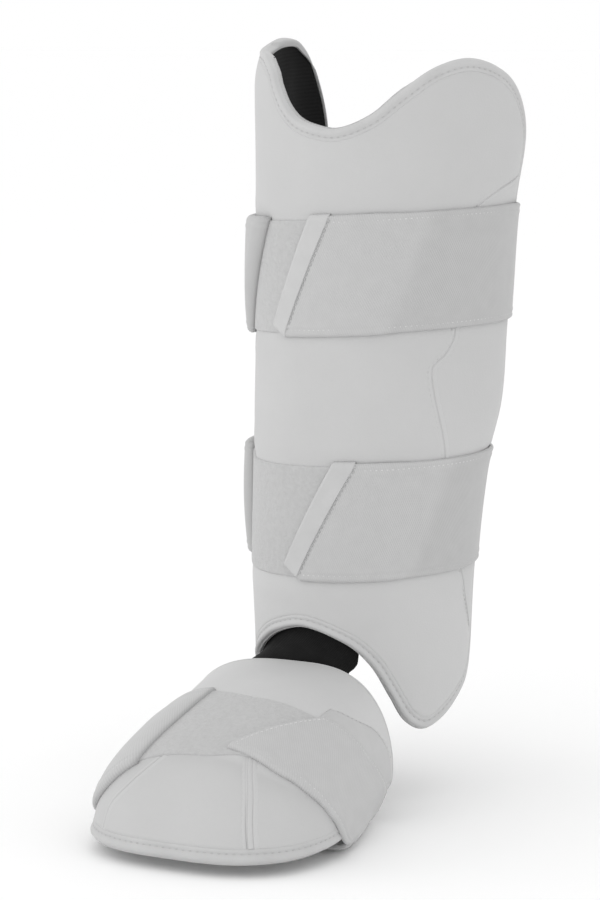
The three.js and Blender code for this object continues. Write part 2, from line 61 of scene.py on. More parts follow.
# The leg: an ellipse at each height, with turn counted from the front
LEG_SECTIONS = (
    # height, half width, half depth, centre x, centre y
    (-175, 58, 59, -5, -9.5),
    (-117, 61.1, 61.6, -4.1, -8.7),
    (-64, 63, 63.5, -3.6, -8),
    (-10, 65.4, 65.9, -1.75, -4.3),
    (29, 70, 70, 1, 0.5),
    (70, 71, 71, 2.2, 2),
    (143, 73.2, 74, 2.8, 6),
    (185, 77, 77, 4.8, 9),
    (240, 79, 79, 5.4, 9.5),
)

# The top left wing leans in towards its rim
LEAN_TURNS = ((-105, 0), (-72, 1), (-46, 1), (-22, 0))
LEAN_START = 206
LEAN_RISE = 26
LEAN_DEPTH = 6

# The foot: leaning arches from the rim (along 0) to the toe (along 1), drawn in below on the right
FOOT_SECTIONS = (
    # along, crest y, crest z, side y, left reach, right reach, tuck, power of the left arch
    (0, -76, -111, -76, 76, 58, 10, 3.2),
    (0.25, -116, -116, -100, 75, 62, 9, 2.5),
    (0.5, -156, -126, -122, 73, 66, 5.5, 2.47),
    (0.75, -198, -143, -142, 70, 69, 3, 2.6),
    (0.9, -220, -164, -152, 68, 70, 2.5, 2.75),
    (1, -229, -186, -156, 68, 70, 2, 2.8),
)
TUCK_TILTS = ((74, 0), (94, 1), (150, 0))
FOOT_MIDDLE_X = -8
FOOT_LENGTH = 170
SOLE_Z = -186
RIGHT_POWER = 2.8
UNDER_DEPTH = 4
UNDER_POWER = 3

# Rims, anticlockwise from the middle of the bottom arch and of the toe
SHIN_RIM = (
    # turn, height
    (-5, -92.5), (18, -100.5), (31.5, -112.5), (42.8, -130.8), (52, -145), (64, -151.5), (76, -148),
    (92, -138), (108, -126), (117, -106), (119.5, -60), (119.5, 20), (119, 100), (115, 150), (107, 178),
    (95, 200), (80, 216), (60, 223.7), (44, 219), (29, 205.5), (17, 192.7), (3, 185.5), (-8, 187),
    (-17, 191), (-24, 198.5), (-29, 208), (-33, 217.5), (-44, 226), (-64, 229.5), (-92, 234.5),
    (-104, 232.5), (-112, 216), (-119, 180),
    (-119.5, 100), (-119.5, 0), (-118.5, -80), (-112, -112), (-96, -127), (-78, -128), (-60, -118.6),
    (-40, -105.8), (-24, -97),
)
SHIN_CORNERS = ((117, -106), (107, 178), (-104, 232.5), (-112, -112))
FOOT_RIM = (
    # tilt, along
    (0, 1), (40, 1), (70, 0.995), (82, 0.96), (86.5, 0.86), (87, 0.6), (86.5, 0.3), (82, 0.09), (70, 0.01),
    (35, 0), (0, 0), (-35, 0), (-70, 0.01), (-82, 0.09), (-86.5, 0.3), (-87, 0.6), (-86.5, 0.86), (-82, 0.96),
    (-70, 0.995), (-40, 1),
)
FOOT_CORNERS = ((82, 0.96), (82, 0.09), (-82, 0.09), (-82, 0.96))

# Walls: the padding thins out towards its rims
SHELL_WALL = 7
LINING_WALL = 3
SHIN_WALL = SHELL_WALL + LINING_WALL + 0.5
SHIN_RIM_WALL = 4.5
ARCH_RIM_WALL = 3
FOOT_WALL = 8
FOOT_RIM_WALL = 5
STRAP_WALL = 2.3
LANDING_WALL = 1.4
FOOT_WEB_WALL = 2.2
TAPE_WALL = 0.7
TAB_WALL = 0.5
TONGUE_WALL = 2

# The rolled edge: how far in and how far out its outer fold runs, from its tucked border past its
# stitches to the edge, and its inner fold, measured from the inner face
ROLL_WIDTH = 7
ROLL_OUTSIDE = (
    # inward, out
    (7, -1.3), (6.95, -0.05), (6.5, 0.2), (5.6, 0.4), (4.6, 0.1), (3.6, 0.5), (2.2, 0.9), (0.9, 0.3),
    (0.15, -1.4),
)
ROLL_INSIDE = ((0.15, 1.4), (0.9, -0.3), (2.4, -0.9), (4.8, -0.75), (6.2, -0.5), (6.6, 0.5))
ROLL_STITCH = 4.6
FOLD_TURNS = ((-113, 0), (-106, 1), (-62, 1), (-40, 0), (20, 0), (45, 1), (106, 1), (113, 0))

# A lapped seam: how far across and how far out its two plies run
SEAM_LAP = (
    # across, out
    (-3.2, -0.25), (-2.4, 0.02), (-1.4, 0.2), (-0.6, 0.28), (-0.22, 0.12), (-0.08, -0.3), (0.15, -0.5),
    (0.5, -0.35), (1, -0.1), (1.8, 0.02), (3.2, -0.25),
)

# Stitches by where they are: how far apart, and the length, width and height of one
STITCHES = {
    "rim": (4, (1.8, 0.8, 0.5)),
    "seam": (3.2, (1.9, 0.5, 0.3)),
    "tab": (3.2, (1.8, 0.5, 0.3)),
    "hem": (3.1, (1.6, 0.9, 0.5)),
    "loose end": (3, (1.8, 0.9, 0.5)),
    "zigzag": (1.5, (2.2, 0.45, 0.3)),
}
ZIGZAG_LEAN = 55

# Padded faces: how deep they lie under a binding, how far they rise beside it, and how far they swell
FACE_TUCK = 1.1
FACE_RISE = 1.4
FACE_SWELL = 0.5

# Seams on the shell's right side and on the toe
SIDE_SEAM = (
    # turn, height
    (106, 158), (97, 155.5), (83, 151), (70, 141), (62, 105), (60.8, 73), (56.5, 62), (50.4, 55), (50.6, 46),
    (54, 31), (63.8, 3), (75, -35), (86.5, -62.7), (98, -87), (106, -100),
)
TOE_SEAMS = (
    # tilt, along
    ((-10, 0.6), (-17.2, 0.75), (-25, 0.835), (-32, 0.9), (-34, 0.97)),
    ((17.2, 0.6), (24.5, 0.745), (29.6, 0.835), (34.6, 0.965)),
    ((19.2, 0.6), (26.5, 0.745), (31.7, 0.835), (36.9, 0.965)),
)

# Leg straps: the height of the middle line and how it rises, the slanted loose end with its cut corner and its
# tape, the slanted fixed end on its web, where the stretched part starts, and the flat length in metres
LEG_STRAPS = (
    {
        "name": "upper", "centre": 105.5, "rise": 4.5, "rise_turn": 98, "fixed_rise": 0,
        "end": -18.5, "end_slant": 0.35, "corner": (-26.5, -20), "tape": 10,
        "fixed": -46, "fixed_slant": 0.43, "web": 5, "on_rim": 1,
        "stretch": 37.5, "stretch_slant": 0.28, "length": 0.44,
    },
    {
        "name": "lower", "centre": -31, "rise": 2.5, "rise_turn": 120, "fixed_rise": 5.5,
        "end": -5.3, "end_slant": 0.42, "corner": (-24.3, -5.8), "tape": 11,
        "fixed": -69, "fixed_slant": 0.13, "web": 7.2, "on_rim": 0.4,
        "stretch": 59, "stretch_slant": 0.3, "length": 0.355,
    },
)
STRAP_WIDTH = 65
LANDING_WIDTH = 63
WEB_WIDTH = 60
LANDING_TUCK = 30
FLAP_BOW = 0.25
HEM_WIDTH = 6.5
HEM_INSET = 3

# A strip's wall at its edges and away from them, as shares of its full wall
EDGE_SHARE = 0.2
FULL_SHARE = 0.9
BAND_TOP = FULL_SHARE * STRAP_WALL
HEM_LEVEL = 0.8 * STRAP_WALL

# The foot strap's lane over the foot, how far the front edges of the landing and the strap are set back in it,
# and the strap's two ends
FOOT_LANE = (
    # tilt, rear edge, front edge
    (-90, 0.13, 0.99), (-60, 0.26, 0.93), (-44, 0.3, 0.865), (-26, 0.32, 0.765), (-5, 0.36, 0.727),
    (15, 0.375, 0.728), (34, 0.38, 0.757), (53, 0.318, 0.775), (67, 0.22, 0.807), (76, 0.16, 0.86),
    (90, 0.13, 0.99),
)
FOOT_LANDING_SETBACK = ((2, 0), (24, 0.042))
FOOT_SETBACK = ((8, 0.055), (24, 0.05), (40, 0.034), (53, 0.018), (67, 0.004), (76, 0))
FOOT_STRAP = {"width": 62, "end": 23, "end_slant": 0.384, "fixed": -23, "fixed_slant": 0.1}
FOOT_LANDING_TUCK = 12
FOOT_TAB_LINE = (
    # tilt, along
    (30, 0.31), (35.5, 0.273), (42.8, 0.22), (50.2, 0.122), (60, 0.06), (68, 0.045), (84, 0.07),
)
FOOT_TAB_TILTS = (33, 76)


# Forms

def smooth(rows, at):
    """The other columns of a table at places along its first, on a smooth curve that runs on straight."""
    rows = np.asarray(rows, float)
    keys, values = rows[:, 0], rows[:, 1:]
    last = len(keys) - 1
    before = np.maximum(np.arange(last + 1) - 1, 0)
    after = np.minimum(np.arange(last + 1) + 1, last)
    slope = (values[after] - values[before]) / (keys[after] - keys[before])[:, None]
    at = np.asarray(at, float)
    place = np.clip(at, keys[0], keys[-1])
    i = np.clip(np.searchsorted(keys, place, side="right") - 1, 0, last - 1)
    run = (keys[i + 1] - keys[i])[..., None]
    t = (place - keys[i])[..., None] / run
    ease = t * t * (3 - 2 * t)
    level = values[i] * (1 - ease) + values[i + 1] * ease
    curve = run * t * (1 - t) * ((1 - t) * slope[i] - t * slope[i + 1])
    past = (at - place)[..., None] * np.where((at < place)[..., None], slope[0], slope[last])
    return np.moveaxis(level + curve + past, -1, 0)


def eased(rows, at):
    """The second column of a table, level at every row."""
    rows = np.asarray(rows, float)
    i = np.clip(np.searchsorted(rows[:, 0], at, side="right") - 1, 0, len(rows) - 2)
    t = np.clip((at - rows[i, 0]) / (rows[i + 1, 0] - rows[i, 0]), 0, 1)
    return rows[i, 1] + (rows[i + 1, 1] - rows[i, 1]) * t * t * (3 - 2 * t)


def step_up(at, low, high):
    """0 below low, 1 above high and smooth between."""
    t = np.clip((at - low) / (high - low), 0, 1)
    return t * t * (3 - 2 * t)


def leg_point(turn, height, out=0):
    half_width, half_depth, x, y = smooth(LEG_SECTIONS, height)
    lean = LEAN_DEPTH * np.clip((height - LEAN_START) / LEAN_RISE, 0, 1) ** 2 * eased(LEAN_TURNS, turn)
    angle = np.radians(turn)
    across = x + (half_width + out - lean) * np.sin(angle)
    back = y - (half_depth + out - lean) * np.cos(angle)
    return np.stack([across, back, height + 0 * across], -1)


def foot_point(tilt, back):
    """A point of the foot form, back millimetres behind the toe; past 90 degrees it runs under the sole."""
    section = smooth(FOOT_SECTIONS, 1 - np.asarray(back) / FOOT_LENGTH)
    crest_y, crest_z, side_y, left, right, tuck, left_power = section
    sine, cosine = np.sin(np.radians(tilt)), np.cos(np.radians(tilt))
    reach = np.where(sine < 0, left, right)
    forward, upward = crest_y - side_y, crest_z - SOLE_Z
    rise = np.hypot(forward, upward)
    above = np.maximum(cosine, 0)
    power = np.where(sine < 0, left_power, RIGHT_POWER)
    radius = ((np.abs(sine) / reach) ** power + (above / rise) ** power) ** (-1 / power)
    share = radius * above / rise
    under = np.abs(np.minimum(cosine, 0)) ** (2 / UNDER_POWER)
    bottom = reach * np.sign(sine) * np.abs(sine) ** (2 / UNDER_POWER)
    middle = FOOT_MIDDLE_X - tuck * eased(TUCK_TILTS, np.mod(tilt + 180, 360) - 180)
    x = middle + np.where(cosine < 0, bottom, radius * sine)
    return np.stack([x, side_y + share * forward, SOLE_Z + share * upward - UNDER_DEPTH * under], -1)


def unit(vectors):
    return vectors / np.linalg.norm(vectors, axis=-1, keepdims=True)


def slopes(surface, a, b):
    nudge = 0.04
    along_a = (surface(a + nudge, b) - surface(a - nudge, b)) / (2 * nudge)
    along_b = (surface(a, b + nudge) - surface(a, b - nudge)) / (2 * nudge)
    return along_a, along_b


def facing(surface, a, b):
    """The way out of a surface."""
    return unit(np.cross(*slopes(surface, a, b)))


def lay(surface, a, b, out):
    """Points a distance out from a surface."""
    return surface(a, b) + facing(surface, a, b) * np.broadcast_to(out, np.shape(a))[..., None]


def ripple(points, size, height):
    """A slow, fixed unevenness."""
    x, y, z = points.T / size
    crossed = np.sin(1.7 * x + 0.9 * z + 0.3) * np.sin(1.3 * y - 1.1 * z + 1.2)
    slow = 0.5 * np.sin(2.3 * z + 0.7 * x + 2.1)
    return height * (crossed + slow) / 1.5


def nearest(points, line):
    """Distance from each point to the nearest of a line's close-set points."""
    parts = np.array_split(points, 60)
    return np.concatenate([np.linalg.norm(part[:, None] - line[None], axis=2).min(1) for part in parts])


def corner(gap, radius):
    """1 on an edge, falling to 0 at a radius from it along a quarter of a circle."""
    return 1 - np.sqrt(1 - (1 - np.clip(gap / radius, 0, 1)) ** 2)


def fold(gap, radius):
    """1 on a folded end, easing off to 0 at a radius from it."""
    return (1 - np.clip(gap / radius, 0, 1)) ** 2


def closed_curve(rows):
    """The smooth closed curve through an outline, by its share of the way round, and each row's share."""
    rows = np.asarray(rows, float)
    wrapped = np.concatenate([rows[-3:], rows, rows[:4]])
    steps = np.hypot(np.diff(wrapped[:, 0]) * SPREAD, np.diff(wrapped[:, 1]))
    keys = np.concatenate([[0], np.cumsum(steps)])
    keys -= keys[3]
    length = keys[3 + len(rows)]
    table = np.column_stack([keys, wrapped])

    def curve(share):
        return smooth(table, np.mod(share, 1) * length)

    return curve, keys[3:3 + len(rows)] / length


def inset(curve, share, distance, surface):
    """Places on a closed curve, moved inwards by a real distance over the surface."""
    strides = 4
    sliver = 0.0004
    a, b = curve(share)
    ahead = surface(*curve(share + sliver)) - surface(*curve(share - sliver))
    inward = unit(np.cross(facing(surface, a, b), ahead))
    for _ in range(strides):
        along_a, along_b = slopes(surface, a, b)
        aa, ab, bb = (along_a ** 2).sum(-1), (along_a * along_b).sum(-1), (along_b ** 2).sum(-1)
        pa, pb = (along_a * inward).sum(-1), (along_b * inward).sum(-1)
        area = aa * bb - ab * ab
        a = a + (pa * bb - pb * ab) / area * distance / strides
        b = b + (pb * aa - pa * ab) / area * distance / strides
    return a, b


def patch(outline, corners, distance, surface, u, v):
    """Places inside a closed outline: its four sides, corner to corner, drawn across to each other."""
    curve, shares = closed_curve(outline)
    marks = [shares[outline.index(corner)] for corner in corners]
    low_right, high_right, high_left, low_left = marks

    def side(first, last, share):
        return np.stack(inset(curve, first + (last - first) * share, distance, surface))

    bottom = side(low_left - 1, low_right, u)
    top = side(high_left, high_right, u)
    left = side(low_left, high_left, v)
    right = side(low_right, high_right, v)
    zero, one = np.zeros(1), np.ones(1)
    low = side(low_left - 1, low_right, zero) * (1 - u) + side(low_left - 1, low_right, one) * u
    high = side(high_left, high_right, zero) * (1 - u) + side(high_left, high_right, one) * u
    return (1 - v) * (bottom - low) + v * (top - high) + (1 - u) * left + u * right


def foot_rows(rows):
    """Rows of tilt and along, as tilt and millimetres behind the toe."""
    return tuple((tilt, (1 - along) * FOOT_LENGTH) for tilt, along in rows)


def route(rows, count=400):
    """Close-set flat places on the smooth open line through a few rows."""
    rows = np.asarray(rows, float)
    steps = np.hypot(np.diff(rows[:, 0]) * SPREAD, np.diff(rows[:, 1]))
    keys = np.concatenate([[0], np.cumsum(steps)])
    return smooth(np.column_stack([keys, rows]), np.linspace(0, keys[-1], count))


# Making and finishing pieces

def select_only(piece):
    bpy.ops.object.select_all(action="DESELECT")
    piece.select_set(True)
    bpy.context.view_layer.objects.active = piece


def flat_grid(name, columns, rows):
    """A flat grid to be bent, with each vertex's place across and up it from 0 to 1."""
    bpy.ops.object.select_all(action="DESELECT")
    bpy.ops.mesh.primitive_grid_add(x_subdivisions=columns, y_subdivisions=rows, size=1)
    piece = bpy.context.object
    piece.name = piece.data.name = name
    flat = np.empty(3 * len(piece.data.vertices))
    piece.data.vertices.foreach_get("co", flat)
    u, v, _ = flat.reshape(-1, 3).T + 0.5
    return piece, u, v


def shape(piece, points, along, across):
    """Moves a grid's vertices to points and keeps their flat places, in millimetres, as its UV map."""
    mesh = piece.data
    mesh.vertices.foreach_set("co", (points * MM).ravel())
    corners = np.empty(len(mesh.loops), int)
    mesh.loops.foreach_get("vertex_index", corners)
    mesh.uv_layers.active.data.foreach_set("uv", np.column_stack([along, across])[corners].ravel())
    mesh.update()


def shade(piece, values):
    """Stores how far each vertex is darkened, from 0 to 1: painted shade in creases, grooves and seams, regions
    painted lighter or darker in place of light, and some pieces' own darker tone.
    """
    piece.data.attributes.new("shade", "FLOAT", "POINT").data.foreach_set("value", np.asarray(values, float))


def modify(piece, kind, **settings):
    select_only(piece)
    modifier = piece.modifiers.new(kind.lower(), kind)
    for name, value in settings.items():
        setattr(modifier, name, value)
    bpy.ops.object.modifier_apply(modifier=modifier.name)


def thicken(piece, wall, share=None, offset=1):
    """Gives a bent grid its wall; share scales it at each vertex."""
    settings = {"thickness": wall * MM, "offset": offset, "use_rim": True}
    if share is not None:
        group = piece.vertex_groups.new(name="wall")
        for index, weight in enumerate(share):
            group.add([index], float(weight), "REPLACE")
        settings["vertex_group"] = group.name
    modify(piece, "SOLIDIFY", **settings)
    piece.vertex_groups.clear()


def weld(piece):
    """Joins the two ends of a grid that was bent into a ring."""
    select_only(piece)
    bpy.ops.object.mode_set(mode="EDIT")
    bpy.ops.mesh.select_all(action="SELECT")
    bpy.ops.mesh.remove_doubles(threshold=0.01 * MM)
    bpy.ops.object.mode_set(mode="OBJECT")


def finish(piece, material, slot, *nodes):
    select_only(piece)
    bpy.ops.object.shade_smooth()
    piece.data.materials.clear()
    piece.data.materials.append(material)
    if nodes:
        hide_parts(*nodes)
    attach(piece, "root")
    return piece


def crowd(share, amount=0.11):
    """Shares from 0 to 1 drawn closer together near both ends."""
    return share - amount * np.sin(2 * math.pi * share)


# Materials

def new_group(name, inputs, outputs):
    group = bpy.data.node_groups.new(name, "ShaderNodeTree")
    for label, value in inputs.items():
        socket = group.interface.new_socket(label, in_out="INPUT", socket_type="NodeSocketFloat")
        socket.default_value = value
    for label in outputs:
        group.interface.new_socket(label, in_out="OUTPUT", socket_type="NodeSocketFloat")
    return group, group.nodes.new("NodeGroupInput"), group.nodes.new("NodeGroupOutput")


def math_node(tree, operation, first, second=None, third=None):
    node = tree.nodes.new("ShaderNodeMath")
    node.operation = operation
    for socket, value in zip(node.inputs, (first, second, third)):
        if value is None:
            continue
        if isinstance(value, bpy.types.NodeSocket):
            tree.links.new(value, socket)
        else:
            socket.default_value = value
    return node.outputs[0]


def noise(tree, vector, scale, detail=3):
    node = tree.nodes.new("ShaderNodeTexNoise")
    node.inputs["Detail"].default_value = detail
    tree.links.new(vector, node.inputs["Vector"])
    if isinstance(scale, bpy.types.NodeSocket):
        tree.links.new(scale, node.inputs["Scale"])
    else:
        node.inputs["Scale"].default_value = scale
    return node.outputs[0]


def make_grain():
    """Fine pebbled grain and slow mottling of coated cloth."""
    tree, given, out = new_group("pebbled_grain", {"Pebbles": 900, "Mottle": 22}, ("Tint", "Height"))
    place = tree.nodes.new("ShaderNodeTexCoord").outputs["Object"]
    cells = tree.nodes.new("ShaderNodeTexVoronoi")
    cells.feature = "SMOOTH_F1"
    tree.links.new(place, cells.inputs["Vector"])
    tree.links.new(given.outputs["Pebbles"], cells.inputs["Scale"])
    slow = noise(tree, place, given.outputs["Mottle"], 4)
    fine = noise(tree, place, given.outputs["Pebbles"], 2)
    height = math_node(tree, "MULTIPLY_ADD", fine, 0.5, cells.outputs["Distance"])
    tree.links.new(height, out.inputs["Height"])
    tree.links.new(slow, out.inputs["Tint"])
    return tree


def make_weave():
    """Threads of a twill or a rib, drawn on the flat places in millimetres."""
    inputs = {"Warp Pitch": 0.9, "Weft Pitch": 0.9, "Twill": 1}
    tree, given, out = new_group("woven_threads", inputs, ("Tint", "Height"))
    place = tree.nodes.new("ShaderNodeUVMap").outputs["UV"]
    split = tree.nodes.new("ShaderNodeSeparateXYZ")
    tree.links.new(place, split.inputs[0])
    full_turn = 2 * math.pi
    warp = math_node(tree, "DIVIDE", split.outputs["X"], given.outputs["Warp Pitch"])
    weft = math_node(tree, "DIVIDE", split.outputs["Y"], given.outputs["Weft Pitch"])
    slanted = math_node(tree, "MULTIPLY_ADD", weft, given.outputs["Twill"], warp)
    rib = math_node(tree, "SINE", math_node(tree, "MULTIPLY", slanted, full_turn))
    knots = noise(tree, place, 0.9, 2)
    height = math_node(tree, "MULTIPLY_ADD", math_node(tree, "MULTIPLY", rib, knots), 0.6, 0.5)
    uneven = noise(tree, place, 0.12, 2)
    tint = math_node(tree, "MULTIPLY_ADD", height, 0.6, math_node(tree, "MULTIPLY", uneven, 0.4))
    tree.links.new(height, out.inputs["Height"])
    tree.links.new(tint, out.inputs["Tint"])
    return tree


def make_nap():
    """Short brushed fibres, matted into small tufts."""
    tree, given, out = new_group("brushed_nap", {"Fibres": 2600, "Tufts": 420}, ("Tint", "Height"))
    place = tree.nodes.new("ShaderNodeTexCoord").outputs["Object"]
    fibres = noise(tree, place, given.outputs["Fibres"], 4)
    tufts = noise(tree, place, given.outputs["Tufts"], 3)
    height = math_node(tree, "MULTIPLY_ADD", tufts, 1.2, fibres)
    tint = math_node(tree, "MULTIPLY_ADD", tufts, 0.6, math_node(tree, "MULTIPLY", fibres, 0.4))
    tree.links.new(height, out.inputs["Height"])
    tree.links.new(tint, out.inputs["Tint"])
    return tree


GRAIN, WEAVE, NAP = make_grain(), make_weave(), make_nap()


def new_material(name, group, values, dark, light, roughness, bump, sheen=0.0, specular=0.3):
    """A finish whose colour runs between two greys by a group's tint, with its height as bump."""
    material = bpy.data.materials.new(name)
    material.use_nodes = True
    tree = material.node_tree
    shader = tree.nodes["Principled BSDF"]
    shader.inputs["Roughness"].default_value = roughness
    shader.inputs["Specular IOR Level"].default_value = specular
    shader.inputs["Sheen Weight"].default_value = sheen
    shader.inputs["Sheen Roughness"].default_value = 0.4
    effect = tree.nodes.new("ShaderNodeGroup")
    effect.node_tree = group
    for label, value in values.items():
        effect.inputs[label].default_value = value
    ramp = tree.nodes.new("ShaderNodeValToRGB")
    ramp.color_ramp.elements[0].position = 0.25
    ramp.color_ramp.elements[0].color = (dark, dark, dark, 1)
    ramp.color_ramp.elements[1].position = 0.75
    ramp.color_ramp.elements[1].color = (light, light, light, 1)
    tree.links.new(effect.outputs["Tint"], ramp.inputs["Fac"])
    # The shade attribute darkens the colour towards a fifth of the dark grey: painted shade, and some pieces'
    # own darker tone.
    tone_and_painted_shade = tree.nodes.new("ShaderNodeAttribute")
    tone_and_painted_shade.attribute_name = "shade"
    mix = tree.nodes.new("ShaderNodeMix")
    mix.data_type = "RGBA"
    mix.inputs["B"].default_value = (0.2 * dark, 0.2 * dark, 0.2 * dark, 1)
    tree.links.new(tone_and_painted_shade.outputs["Fac"], mix.inputs["Factor"])
    tree.links.new(ramp.outputs["Color"], mix.inputs["A"])
    tree.links.new(mix.outputs["Result"], shader.inputs["Base Color"])
    relief = tree.nodes.new("ShaderNodeBump")
    relief.inputs["Strength"].default_value = 1
    relief.inputs["Distance"].default_value = bump * MM
    tree.links.new(effect.outputs["Height"], relief.inputs["Height"])
    tree.links.new(relief.outputs["Normal"], shader.inputs["Normal"])
    return material


LEATHER = new_material("shell_leather", GRAIN, {"Pebbles": 1100, "Mottle": 20},
                       dark=0.55, light=0.585, roughness=0.55, bump=0.05)
ROLLED = new_material("binding_leather", GRAIN, {"Pebbles": 1300, "Mottle": 60},
                      dark=0.53, light=0.58, roughness=0.55, bump=0.06)
SMOOTH_TAPE = new_material("end_tape", GRAIN, {"Pebbles": 1900, "Mottle": 90},
                           dark=0.51, light=0.55, roughness=0.45, bump=0.03)
ELASTIC = new_material("strap_elastic", WEAVE, {"Warp Pitch": 1.25, "Weft Pitch": 2.4, "Twill": 1},
                       dark=0.475, light=0.53, roughness=0.8, bump=0.07, sheen=0.2)
PILE = new_material("loop_pile", NAP, {}, dark=0.465, light=0.55, roughness=0.95, bump=0.35, sheen=0.4)
# The backing cloth, its greys set darker than the strap's as painted shade in the slit under the folded fixed
# end.
BACKING = new_material("strap_backing", WEAVE, {"Warp Pitch": 1.2, "Weft Pitch": 1.2, "Twill": 0},
                       dark=0.38, light=0.46, roughness=0.9, bump=0.2)
LINING = new_material("black_lining", WEAVE, {"Warp Pitch": 40, "Weft Pitch": 2.2, "Twill": 1},
                      dark=0.002, light=0.005, roughness=0.85, bump=0.25, sheen=0.02)
KNIT = new_material("black_knit", WEAVE, {"Warp Pitch": 1.1, "Weft Pitch": 1.6, "Twill": 1},
                    dark=0.003, light=0.014, roughness=0.85, bump=0.3, sheen=0.03, specular=0.2)
THREAD = new_material("thread", GRAIN, {"Pebbles": 2500, "Mottle": 200},
                      dark=0.58, light=0.66, roughness=0.6, bump=0.03)


# Sewing

def sew(name, surface, a, b, out, kind, dark=0.0, turned=0.0):
    """A row of stitches along flat places.

    turned leans every other stitch that many degrees one way, and the rest the other way, as in a zigzag.
    """
    pitch, size = STITCHES[kind]
    track = lay(surface, a, b, out)
    run = np.concatenate([[0], np.cumsum(np.linalg.norm(np.diff(track, axis=0), axis=1))])
    marks = np.arange(pitch / 2, run[-1], pitch)
    a, b = np.interp(marks, run, a), np.interp(marks, run, b)
    centres, up = lay(surface, a, b, out), facing(surface, a, b)
    ahead = unit(np.gradient(centres, axis=0))
    ahead = unit(ahead - up * (ahead * up).sum(-1, keepdims=True))
    aside = np.cross(up, ahead)
    lean = np.radians(turned) * np.where(np.arange(len(marks)) % 2, 1, -1)[:, None]
    along = ahead * np.cos(lean) + aside * np.sin(lean)
    across = aside * np.cos(lean) - ahead * np.sin(lean)
    bpy.ops.object.select_all(action="DESELECT")
    bpy.ops.mesh.primitive_uv_sphere_add(segments=8, ring_count=5, radius=0.5)
    bead = bpy.context.object
    corners = np.array([vertex.co for vertex in bead.data.vertices])[:, [2, 0, 1]] * size
    faces = [list(face.vertices) for face in bead.data.polygons]
    bpy.data.objects.remove(bead)
    axes = np.stack([along, across, up], 1)
    points = (centres[:, None] + corners @ axes).reshape(-1, 3) * MM
    every = [[corner + k * len(corners) for corner in face] for k in range(len(marks)) for face in faces]
    mesh = bpy.data.meshes.new(name)
    mesh.from_pydata(points.tolist(), [], every)
    piece = bpy.data.objects.new(name, mesh)
    bpy.context.collection.objects.link(piece)
    # Painted shade: dark darkens the thread, standing in for the shadow of stitches sunk into their holes and
    # grooves.
    shade(piece, np.full(len(points), dark))
    return finish(piece, THREAD, "thread")


def sew_hem(name, surface, start, end, q):
    """Stitches along an edge of a strap, at q across it."""
    run = np.linspace(start, end, 900)
    return sew(name, surface, run, np.full_like(run, q), HEM_LEVEL, "hem")


def lapped_seam(name, surface, places, relief, columns, depth, dark):
    """Two plies lapped along a line on a padded face."""
    lap = np.array(SEAM_LAP)
    piece, u, v = flat_grid(name, columns, len(lap) - 1)
    column, row = np.rint(u * columns).astype(int), np.rint(v * (len(lap) - 1)).astype(int)
    a, b = route(places, columns + 1)
    along_a, along_b = slopes(surface, a, b)
    track = surface(a, b)
    aside = unit(np.cross(np.gradient(track, axis=0), facing(surface, a, b)))
    step_a = (aside * along_a).sum(-1) / (along_a ** 2).sum(-1)
    step_b = (aside * along_b).sum(-1) / (along_b ** 2).sum(-1)
    a = a[column] + step_a[column] * lap[row, 0]
    b = b[column] + step_b[column] * lap[row, 0]
    points = lay(surface, a, b, relief(a, b) + depth * lap[row, 1])
    shape(piece, points, u * columns, lap[row, 0])
    # Painted shade: darkened a little all over like the padded face, and by dark in the seam's groove.
    shade(piece, 0.06 + dark * np.exp(-((lap[row, 0] - 0.12) / 0.3) ** 2))
    return finish(piece, LEATHER, "shell_leather")


# Shin shell, lining and rim

def strap_height(strap, turn):
    """Height of a leg strap's middle line, which rises to its fixed end."""
    around = np.mod(turn + 180, 360) - 180
    fixed_rise = strap["fixed_rise"] * step_up(around, -160, -110) * (1 - step_up(around, -76, -50))
    return strap["centre"] + strap["rise"] * np.cos(np.radians(turn - strap["rise_turn"])) + fixed_rise


def rim_line(outline, surface, count=1100):
    curve, _ = closed_curve(outline)
    return surface(*curve(np.linspace(0, 1, count)))


SHIN_RIM_LINE = rim_line(SHIN_RIM, leg_point)


def shell_face(turn, height):
    """How far the padded face stands out away from seams: drawn under the rim, pressed by the straps."""
    points = leg_point(turn, height)
    rim_gap = nearest(points, SHIN_RIM_LINE)
    out = -FACE_TUCK + FACE_RISE * step_up(rim_gap, 5.2, 7.2) + FACE_SWELL * step_up(rim_gap, 6, 40)
    for strap in LEG_STRAPS:
        beyond = np.abs(height - strap_height(strap, turn)) - STRAP_WIDTH / 2
        out = out - 0.5 * step_up(-beyond, -4, 2) + 0.25 * np.exp(-((beyond - 8) / 5) ** 2)
    return out + ripple(points, 26, 0.16)


def shin_rim_wall(turn, height):
    """Thickness at the rim: full only on the rear edges, least on the bottom arch."""
    thin = ARCH_RIM_WALL + (SHIN_RIM_WALL - ARCH_RIM_WALL) * step_up(height, -80, -40)
    return thin + (SHIN_WALL - thin) * step_up(np.abs(turn), 88, 120)


def shin_wall(turn, height):
    """Thickness of the padding with its lining."""
    rim_gap = nearest(leg_point(turn, height), SHIN_RIM_LINE)
    rim = shin_rim_wall(turn, height)
    return rim + (SHIN_WALL - rim) * step_up(rim_gap, 3, 34)


